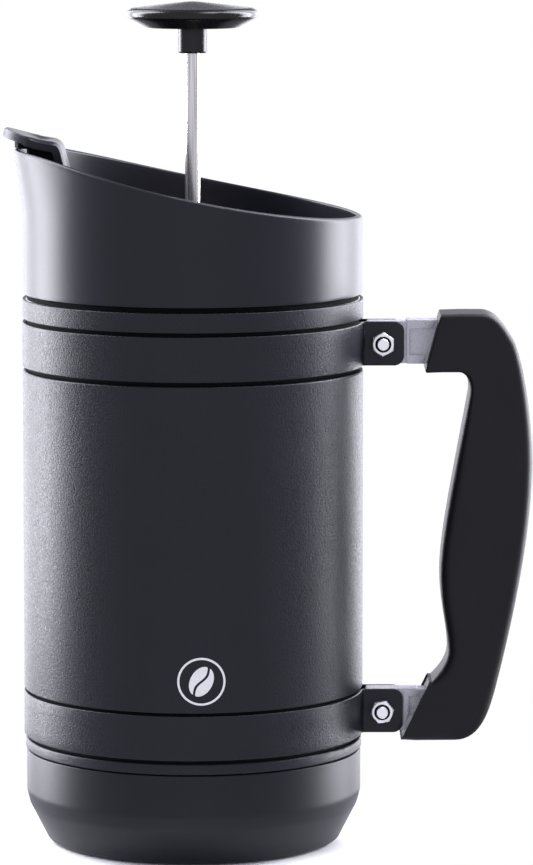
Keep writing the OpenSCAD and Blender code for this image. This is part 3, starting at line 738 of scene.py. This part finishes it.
# White pad-printing ink: a dead-flat film, a little thin where the pad lifted off.
ink = grained("white_pad_print_ink", ("#e2e2e6", "#ffffff"), {"Scale": 1500.0, "Detail": 2.0},
              {"Roughness": 0.5})
round_badge = full_turn(120)
circle = np.stack([np.cos(round_badge), np.sin(round_badge)], 1)
RING_OUT, RING_IN = 7.9, 7.2
badge_ring = skin("badge_ring", printed(RING_OUT * circle, RING_IN * circle), closed_rows=True)
dress(badge_ring, "vessel", None, ink)
for side, label in ((-1, "left"), (1, "right")):
    dress(skin(f"badge_bean_{label}", printed(*bean_half(side))), "vessel", None, ink)


# ---- Lid collar ----
# Moulded collar, cut low at the handle and high at the spout, where its wall leans out into a lip.
# It drops over the plug and squeezes the gasket on to the vessel's mouth.

def rim_height(x):
    """Height of the collar's rim over X: a shallow arc that a soft minimum levels off at the spout."""
    bow = 620.0
    slope = math.radians(11.7)
    arc = 219.95 + bow * math.cos(slope) - np.sqrt(bow ** 2 - (x - bow * math.sin(slope)) ** 2)
    soft = 1.2
    return -soft * np.log(np.exp(-arc / soft) + np.exp(-collar_high[2] / soft))


def lean(angle, z):
    """How far the wall leans out at the spout: 0.152 mm per mm above the flare, fading round the side."""
    flare_z, per_mm = 211.5, 0.152
    rise = z - flare_z
    ramp = np.where(rise > 0, rise, 0) ** 2 / (np.abs(rise) + 2.0)
    round_by = np.abs((angle % (2 * np.pi)) - np.pi)
    half_width = math.radians(44)
    share = np.where(round_by < half_width, 0.5 + 0.5 * np.cos(np.pi * round_by / half_width), 0)
    return per_mm * ramp * share


def collar_grid():
    """The collar's wall as a closed section whose heights follow the rim all the way round.

    Rows run up the outside, round the rim, down the inside to the ledge, and back under it.
    """
    angle = full_turn(320)
    wall, rim_r, inner_rim_r, foot_r, ledge_t, plug_gap_r = 2.2, 1.0, 0.6, 0.25, 2.0, 51.1
    low_z = collar_low[2]
    level = np.ones(len(angle))
    rows = [(r * level, z * level) for r, z in (
        (collar_r - foot_r, low_z), (collar_r - 0.07, low_z + 0.07), (collar_r, low_z + foot_r))]

    def leaning(r, z):
        rows.append((r + lean(angle, z), z))

    turn = np.linspace(0, np.pi / 2, 6)
    top = rim_height(collar_r * np.cos(angle))
    for share in np.linspace(0.03, 1, 36):
        leaning(collar_r, low_z + foot_r + (top - rim_r - low_z - foot_r) * share)
    for a in turn[1:]:
        leaning(collar_r - rim_r * (1 - math.cos(a)), top - rim_r * (1 - math.sin(a)))
    inner_r = collar_r - wall
    top_in = rim_height(inner_r * np.cos(angle))
    for a in turn[::-1]:
        leaning(inner_r + inner_rim_r * (1 - math.cos(a)), top_in - inner_rim_r * (1 - math.sin(a)))
    for share in np.linspace(0.04, 1, 30):
        leaning(inner_r, top_in - inner_rim_r + (low_z + ledge_t - top_in + inner_rim_r) * share)
    rows += [(plug_gap_r * level, (low_z + ledge_t) * level), (plug_gap_r * level, low_z * level)]
    r, z = np.array(rows).transpose(1, 0, 2)
    return np.stack([r * np.cos(angle), r * np.sin(angle), z], -1)


lid_plastic = moulded_plastic("matt_moulded_lid", "#16161e", "#1a1a24", 0.34, 0.6, 0.03)
collar_low, collar_high = box_mm("lid_collar")
collar_r = collar_high[0]
dress(skin("lid_wall", collar_grid(), closed_rows=True), "lid", "lid_plastic", lid_plastic, "lid_collar")


# ---- Lid insert ----
# Plug, deck, pour duct and hinge lugs in one moulding, clipped into the collar from above.

dress_copy("lid_insert", "lid_deck", 0.3, "lid", "lid_plastic", lid_plastic)


# ---- Gasket ----
# Food-grade black silicone ring under the collar; its near-black also paints the shade in the lid-to-vessel
# gap.

# Near-black silicone; on the gasket and the spout plug its black also paints the shade of the gaps they
# fill.
silicone = black_rubber("black_silicone_and_gap_shade", "#020203", "#070708")
gasket_low, gasket_high = box_mm("lid_gasket")
ring_out, ring_in = gasket_high[0], 51.05
gasket_mid = (gasket_low[2] + gasket_high[2]) / 2
gasket_corners = [
    (ring_in, gasket_low[2], 0.1), (ring_out - 0.4, gasket_low[2], 0.15),
    (ring_out, gasket_low[2] + 0.5, 0.2), (ring_out - 0.4, gasket_mid, 0.15),
    (ring_out, gasket_high[2] - 0.5, 0.2), (ring_out - 0.4, gasket_high[2], 0.15),
    (ring_in, gasket_high[2], 0.1),
]
dress(lathed("gasket_ring", gasket_corners, closed=True, steps=192, fillet_steps=3), "lid", "silicone",
      silicone, "lid_gasket")


# ---- Rod bush and its nut ----
# Turned stainless bush through the deck, drawn down on it by a thin hexagon nut.

turned_steel = brushed_round("fine_turned_stainless", "#bfc1c4", 0.24, 0.25)
bush_low, bush_high = box_mm("rod_bushing")
deck_top = box_mm("flap_seal")[0][2] - 0.05
bore_r, bush_r, flange_out, collar_out = 2.56, 5.0, 9.0, 6.5
bush_corners = [
    (bore_r, bush_low[2], 0.2), (bush_r, bush_low[2], 0.5), (bush_r, deck_top, 0),
    (flange_out, deck_top, 0.2), (flange_out, deck_top + 2, 0.6), (collar_out, deck_top + 2, 0.6),
    (collar_out, bush_high[2] - 0.6, 0.9), (bush_r, bush_high[2], 0.3), (bore_r, bush_high[2], 0.4),
]
dress(lathed("rod_bush", bush_corners, closed=True, steps=96), "lid", "turned_steel", turned_steel,
      "rod_bushing")


def rod_nut(name, node, thread_r, body):
    """A hexagon nut in a node's place, round the rod's axis."""
    low, high = box_mm(node)
    flats, height = high[1] - low[1], high[2] - low[2]
    nut = hex_nut(name, flats, thread_r, height, (0, 0, low[2]), math.pi / 6, along_y=False)
    return dress(nut, body, "turned_steel", turned_steel, node)


rod_nut("bush_nut", "bushing_nut", bush_r + 0.05, "lid")


# ---- Pour strainer ----
# Punched stainless plate at the lower end of the pour duct; it holds stray grounds back.

filter_steel = brushed_round("pressed_filter_stainless", "#b4b6b9", 0.33, 0.35)
dress_copy("pour_strainer", "strainer_plate", 0.15, "lid", "filter_steel", filter_steel)


# ---- Hinge pin ----
# Stainless pin with rounded ends, pressed into the two lugs on the deck.

pin_low, pin_high = box_mm("flap_hinge_pin")
hinge_x, hinge_z = (pin_low[0] + pin_high[0]) / 2, (pin_low[2] + pin_high[2]) / 2
PIN_R = 1.5
pin_corners = [(ON_AXIS, pin_low[1], 0), (PIN_R, pin_low[1], 0.4), (PIN_R, pin_high[1], 0.4),
               (ON_AXIS, pin_high[1], 0)]
dress(lathed("hinge_pin", pin_corners, steps=48, axis_point=(hinge_x, hinge_z)), "lid", "turned_steel",
      turned_steel, "flap_hinge_pin")


# ---- Spout cover ----
# One moulding: a thumb tab that overhangs the lip, a leaning leg, a hinge barrel and a foot plate
# that closes the pour duct. The tab's top is dished for the thumb, just before the bend.

def cover_tab():
    """The tab and leg as rounded sections along one bent path in X and Z.

    The tab's half width runs in to a blunt point at its tip, and its thickness rounds off there. The
    upper side falls to a bevel along both edges and to a dish for the thumb, both as smooth bumps.
    """
    tab = cubic((-63.0, 238.9), (-59.5, 237.9), (-56, 236.5), (-52.8, 235.5), 24)
    flat = cubic((-52.8, 235.5), (-51, 234.9), (-49, 234.6), (-47.0, 234.3), 12)
    bend = cubic((-47.0, 234.3), (-45.6, 234.1), (-45.0, 233.4), (-44.6, 232.0), 10)
    leg = cubic(*line((-44.6, 232.0), (-37.1, foot_top - 0.6)), 20)
    path = np.concatenate([tab, flat, bend, leg, [[-37.1, foot_top - 0.6]]])
    along = np.gradient(path, axis=0)
    along /= np.linalg.norm(along, axis=1, keepdims=True)
    upper = np.stack([-along[:, 1], along[:, 0]], 1)
    run = np.concatenate([[0], np.cumsum(np.linalg.norm(np.diff(path, axis=0), axis=1))]) + 0.25
    tip_len, tip_t, ridge, bevel_w = 9.4, 1.25, 0.4, 2.2
    near = np.clip(1 - run / tip_len, 0, 1)
    half_w = flap_half_w * (1 - near ** 1.1) ** (1 / 1.7)
    thin = np.clip(1 - run / tip_t, 0, 1)
    raised = np.clip((run - 7) / 4, 0, 1)
    half_t = (1.45 + ridge * raised) * np.sqrt(1 - 0.9 * thin ** 2)
    grid = swept(side_view(path), side_view(upper), (0, 1, 0), half_t, half_w, 0.45, flat_steps=24)
    rise = np.einsum("ijk,ik->ij", grid - side_view(path)[:, None], side_view(upper))
    on_top = np.clip(rise / half_t[:, None], 0, 1)
    slope = np.clip((np.abs(grid[..., 1]) - flap_half_w + bevel_w) / bevel_w, 0, 1)
    dish = np.exp(-((run[:, None] - 13.0) / 3.6) ** 2) * np.exp(-(grid[..., 1] / 6.8) ** 4)
    drop = on_top * (0.7 * dish + 2 * ridge * raised[:, None] * slope)
    return grid - drop[..., None] * side_view(upper)[:, None]


flap_plastic = moulded_plastic("matt_moulded_cover", "#16161e", "#1a1a24", 0.3, 0.6, 0.012)
flap_low, flap_high = box_mm("spout_flap")
flap_half_w = flap_high[1]
PLATE_HALF_T = 0.9
plate_z = flap_low[2] + PLATE_HALF_T
foot_top = plate_z + PLATE_HALF_T
dress(skin("cover_tab", cover_tab()), "flap", "flap_plastic", flap_plastic, "spout_flap")
barrel_r, barrel_bore_r = 3.2, 1.57
barrel_corners = [
    (barrel_bore_r, -flap_half_w, 0.2), (barrel_r, -flap_half_w, 0.5), (barrel_r, flap_half_w, 0.5),
    (barrel_bore_r, flap_half_w, 0.2)]
dress(lathed("cover_barrel", barrel_corners, closed=True, steps=64, axis_point=(hinge_x, hinge_z)),
      "flap", "flap_plastic", flap_plastic)
foot_n = 12
foot_x = np.linspace(-48, hinge_x + 0.2, foot_n)
foot_path = np.stack([foot_x, np.zeros(foot_n), np.full(foot_n, plate_z)], 1)
foot_half = np.full(foot_n, flap_half_w)
foot_half[:2] -= (0.9, 0.25)             # the plate's free end is rounded in plan
foot_grid = swept(foot_path, (0, 0, 1), (0, 1, 0), PLATE_HALF_T, foot_half, 0.5)
dress(skin("cover_foot", foot_grid), "flap", "flap_plastic", flap_plastic)
dress_copy("flap_seal", "cover_seal", 0.25, "flap", "silicone", silicone)
# The plug's near-black silicone face under the tab also paints the shade that falls there.
dress_copy("flap_plug", "cover_plug", 0.3, "flap", "silicone", silicone)


# ---- Plunger rod ----
# Cold-drawn stainless rod, lightly polished. Its lower end is threaded M5 for the filter nut.

def rod_grid():
    """The rod's radius over its length and round it: plain, then a 60 degree thread of 0.8 mm pitch."""
    angle = full_turn(48)
    pitch, depth, thread_len = 0.8, 0.38, 13.0
    z = np.concatenate([np.arange(rod_low[2] + 0.3, rod_low[2] + thread_len, pitch / 8),
                        np.linspace(rod_low[2] + thread_len + 0.2, rod_high[2] - 0.4, 40)])
    turn = (z[:, None] / pitch - angle / (2 * np.pi)) % 1
    vee = np.abs(2 * turn - 1)
    fade = np.clip((rod_low[2] + thread_len - z) / 1.0, 0, 1)[:, None]
    radius = rod_r - depth * vee * fade
    ends = np.full((1, len(angle)), rod_r - 0.5)
    radius = np.concatenate([ends, radius, ends])
    z = np.concatenate([[rod_low[2]], z, [rod_high[2]]])
    return np.stack([radius * np.cos(angle), radius * np.sin(angle), z[:, None] + 0 * radius], -1)


rod_low, rod_high = box_mm("plunger_rod")
rod_r = rod_high[0]

# Cold-drawn, lightly polished stainless: a soft mirror with fine lines along the rod from the die.
LINE_W, LINE_LEN = 0.35, 30
rod_steel = grained("drawn_polished_stainless", ("#b3b0ae", "#efece9"), {"Scale": 1.0, "Detail": 2.0},
                    {"Metallic": 1.0}, sheen=(0.22, 0.34), contrast=(0.35, 0.65),
                    stretch=(1000 / LINE_W, 1000 / LINE_W, 1000 / LINE_LEN))
dress(skin("lift_rod", rod_grid()), "plunger", "polished_rod", rod_steel, "plunger_rod")


# ---- Knob, insert and neck ----
# Compression-moulded phenolic knob with a shallow crown, screwed down on a short turned neck.

def gloss_black():
    """Polished black phenolic: a deep gloss with the faint ripple and dust specks of a moulding."""
    ripple, speck = 2.2, 0.7
    material, tree, where = new_material("polished_black_phenolic")
    ripples = add(tree, "ShaderNodeTexNoise", {"Scale": 1000 / ripple, "Detail": 2.0}, {"Vector": where})
    specks = add(tree, "ShaderNodeTexNoise", {"Scale": 1000 / speck, "Detail": 3.0}, {"Vector": where})
    gloss = add(tree, "ShaderNodeMapRange", {"From Min": 0.35, "From Max": 0.75, "To Min": 0.16,
                                             "To Max": 0.32}, {"Value": specks})
    height = add(tree, "ShaderNodeMath", {"operation": "MULTIPLY_ADD", 1: 0.3}, {0: specks, 2: ripples})
    relief = add(tree, "ShaderNodeBump", {"Strength": 0.5, "Distance": 0.00002}, {"Height": height})
    return surfaced(material, add(tree, "ShaderNodeBsdfPrincipled",
                                  {"Base Color": linear("#08080a"), "IOR": 1.4},
                                  {"Roughness": gloss, "Normal": relief}))


black_gloss = gloss_black()
knob_low, knob_high = box_mm("knob")
knob_r, crown_z = knob_high[0], knob_high[2]
crown = cubic((20.2, crown_z - 2.25), (14, crown_z - 1.6), (6, crown_z - 0.35), (0, crown_z), 16)
RIM_R, rim_turn = 1.7, np.linspace(-0.9, 1.1, 12)
rim = np.stack([knob_r - RIM_R + RIM_R * np.cos(rim_turn), crown_z - 4.25 + RIM_R * np.sin(rim_turn)], 1)
under = rounded([(4.05, knob_low[2] + 6, 0), (4.05, knob_low[2], 0.2), (15.4, knob_low[2], 0.3),
                 (19.8, crown_z - 6.3, 0.6), (20.7, crown_z - 5.7, 0)])
bore_top = np.array([[0.02, knob_low[2] + 6.2], [3.9, knob_low[2] + 6.2]])
knob_profile = np.concatenate([bore_top, under[:-1], rim, crown])
dress(turned("knob_disc", knob_profile, closed=False, steps=192), "plunger", "knob_gloss", black_gloss,
      "knob")

neck_low, neck_high = box_mm("knob_ferrule")
neck_r = neck_high[0]
neck_corners = [
    (rod_r + 0.05, neck_low[2], 0.1), (neck_r, neck_low[2], 0.8), (neck_r, neck_high[2], 0.1),
    (rod_r + 0.05, neck_high[2], 0.1)]
dress(lathed("knob_neck", neck_corners, closed=True, steps=96), "plunger", "knob_gloss", black_gloss,
      "knob_ferrule")

# Free-cutting brass, turned: warm yellow with fine tool rings.
brass = grained("turned_brass", ("#b8924c", "#dcb974"), {"Scale": 1.0},
                {"Metallic": 1.0, "Roughness": 0.28}, stretch=(40, 40, 4000))
coat_with(brass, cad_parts["knob_insert"])


# ---- Filter stack ----
# From the top: a shoulder on the rod, a pressed plate with flow holes, a woven screen whose edge is
# wrapped round a coil spring, a cross-shaped backing plate and a nut.

shoulder_low, shoulder_high = box_mm("filter_collar")
shoulder_corners = [
    (rod_r + 0.05, shoulder_low[2], 0), (9, shoulder_low[2], 0.2), (9, shoulder_low[2] + 1.6, 0.5),
    (5.5, shoulder_low[2] + 1.6, 0.6), (5.5, shoulder_high[2], 0.6),
    (rod_r + 0.05, shoulder_high[2], 0.1)]
dress(lathed("filter_shoulder", shoulder_corners, closed=True, steps=96), "plunger", "turned_steel",
      turned_steel, "filter_collar")
dress_copy("filter_plate", "flow_plate", 0.15, "plunger", "filter_steel", filter_steel)
dress_copy("cross_plate", "backing_cross", 0.15, "plunger", "filter_steel", filter_steel)
rod_nut("stack_nut", "filter_nut", rod_r + 0.06, "plunger")


def coil_spring():
    """A helix wound on a ring: the wire's centre circles the ring's own centreline 170 times.

    The wire's section is carried along it on the frame made by the coil's radius and the ring's way.
    """
    turns, wire_r, sides, per_turn = 170, 0.42, 6, 14
    spring_low, spring_high = box_mm("filter_spring")
    coil_r = (spring_high[2] - spring_low[2]) / 2 - wire_r
    ring_r = spring_high[0] - coil_r - wire_r
    mid_z = (spring_low[2] + spring_high[2]) / 2
    t = full_turn(turns * per_turn)
    out = np.stack([np.cos(t), np.sin(t), 0 * t], 1)
    up = np.array([0.0, 0, 1])
    radial = np.cos(turns * t)[:, None] * out + np.sin(turns * t)[:, None] * up
    centre = ring_r * out + coil_r * radial + [0, 0, mid_z]
    way = np.roll(centre, -1, 0) - np.roll(centre, 1, 0)
    way /= np.linalg.norm(way, axis=1, keepdims=True)
    side = np.cross(way, radial)
    a = full_turn(sides)[:, None]
    return centre[:, None] + wire_r * (np.cos(a) * radial[:, None] + np.sin(a) * side[:, None])


dress(skin("edge_spring", coil_spring(), closed_rows=True), "plunger", "filter_steel", filter_steel,
      "filter_spring")


def woven_wires():
    """Warp and weft of the screen as two sets of wavy three-sided wires trimmed to the disc.

    A wire's height is a cosine that swaps sign from each wire to the next, so that every crossing
    goes over one way and under the other. Real cloth has 0.3 mm between wires; 1.5 mm shows.
    """
    screen_low, screen_high = box_mm("mesh_screen")
    pitch, wire_r, steps, sides = 1.5, 0.13, 96, 3
    reach = screen_high[0] - 0.4
    mid_z = (screen_low[2] + screen_high[2]) / 2
    lanes = np.arange(-int(reach / pitch), int(reach / pitch) + 1) * pitch
    half = np.sqrt(reach ** 2 - lanes ** 2)
    along = np.linspace(-1, 1, steps) * half[:, None]
    parity = np.where(np.round(lanes / pitch).astype(int) % 2 == 0, 1, -1)[:, None]
    weave = 0.14 * np.cos(np.pi * along / pitch) * parity
    a = full_turn(sides)
    fixed = lanes[:, None, None] + wire_r * np.cos(a)
    moving = np.broadcast_to(along[..., None], fixed.shape[:1] + (steps, sides))
    fixed = np.broadcast_to(fixed, moving.shape)
    weave, up = weave[..., None], wire_r * np.sin(a)
    warp = np.stack([fixed, moving, mid_z + weave + up], -1)
    weft = np.stack([moving, fixed, mid_z - weave + up], -1)
    return np.concatenate([warp, weft])


def wire_cloth(name, wires):
    """One mesh from many open tubes, shape (wires, steps, sides, 3), each closed by its end faces."""
    count, steps, sides = wires.shape[:3]
    index = np.arange(count * steps * sides).reshape(count, steps, sides)
    ahead = np.roll(index, -1, 2)
    quads = np.stack([index[:, :-1], ahead[:, :-1], ahead[:, 1:], index[:, 1:]], -1).reshape(-1, 4)
    ends = np.concatenate([index[:, 0, ::-1], index[:, -1]])
    mesh = bpy.data.meshes.new(name)
    mesh.from_pydata((wires.reshape(-1, 3) / 1000).tolist(), [], quads.tolist() + ends.tolist())
    mesh.shade_smooth()
    work = bmesh.new()
    work.from_mesh(mesh)
    bmesh.ops.recalc_face_normals(work, faces=work.faces)
    work.to_mesh(mesh)
    work.free()
    return new_object(name, mesh)


dress(wire_cloth("woven_screen", woven_wires()), "plunger", "filter_steel", filter_steel, "mesh_screen")
